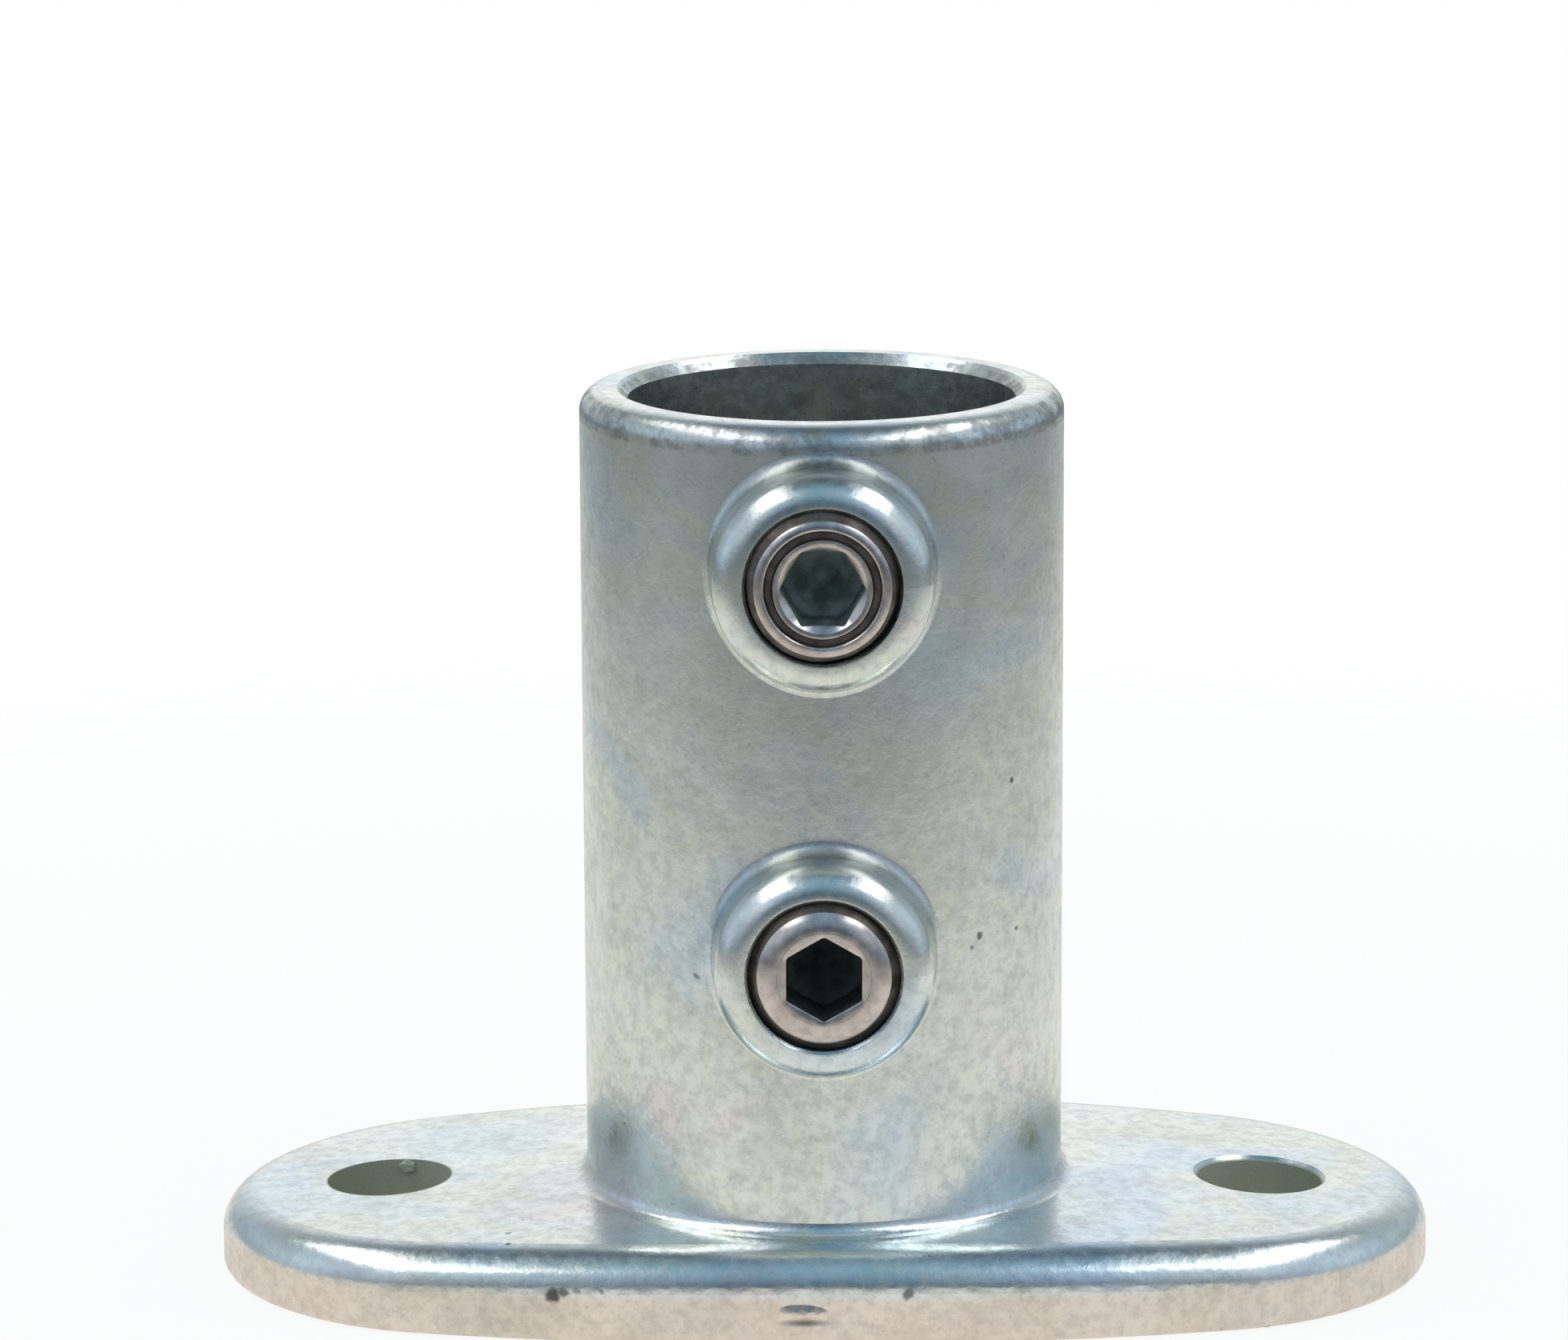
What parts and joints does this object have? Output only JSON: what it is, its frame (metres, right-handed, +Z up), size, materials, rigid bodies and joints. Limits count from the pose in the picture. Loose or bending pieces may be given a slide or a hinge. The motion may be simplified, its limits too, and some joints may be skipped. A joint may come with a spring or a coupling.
{
  "type": "tube clamp base flange",
  "caption": "Oval base flange with an upright round tube socket, two fixing holes, and set screws in front bosses that lock an inserted tube.",
  "frame": {"origin": "middle of the two fixing holes, on the underside of the plate, under the tube socket's axis", "axes": "+Z up the tube socket, +X along the plate's long way through both fixing holes, -Y towards the set screws"},
  "size_m": [0.1378, 0.0687, 0.1015],
  "materials": {
    "zinc_casting": "satin zinc coat over a fine sand-cast surface",
    "screw_steel": "satin, turned and rounded at the drive end"
  },
  "bodies": {
    "casting": {"flange_casting": "zinc_casting"},
    "upper_screw": {"upper_set_screw": "screw_steel"},
    "lower_screw": {"lower_set_screw": "screw_steel"}
  },
  "joints": [
    {"name": "upper_screw_travel", "type": "slide", "parent": "casting", "child": "upper_screw", "axis": [0, 1, 0], "range_m": [-0.004, 0.006]},
    {"name": "lower_screw_travel", "type": "slide", "parent": "casting", "child": "lower_screw", "axis": [0, 1, 0], "range_m": [-0.004, 0.006]}
  ]
}
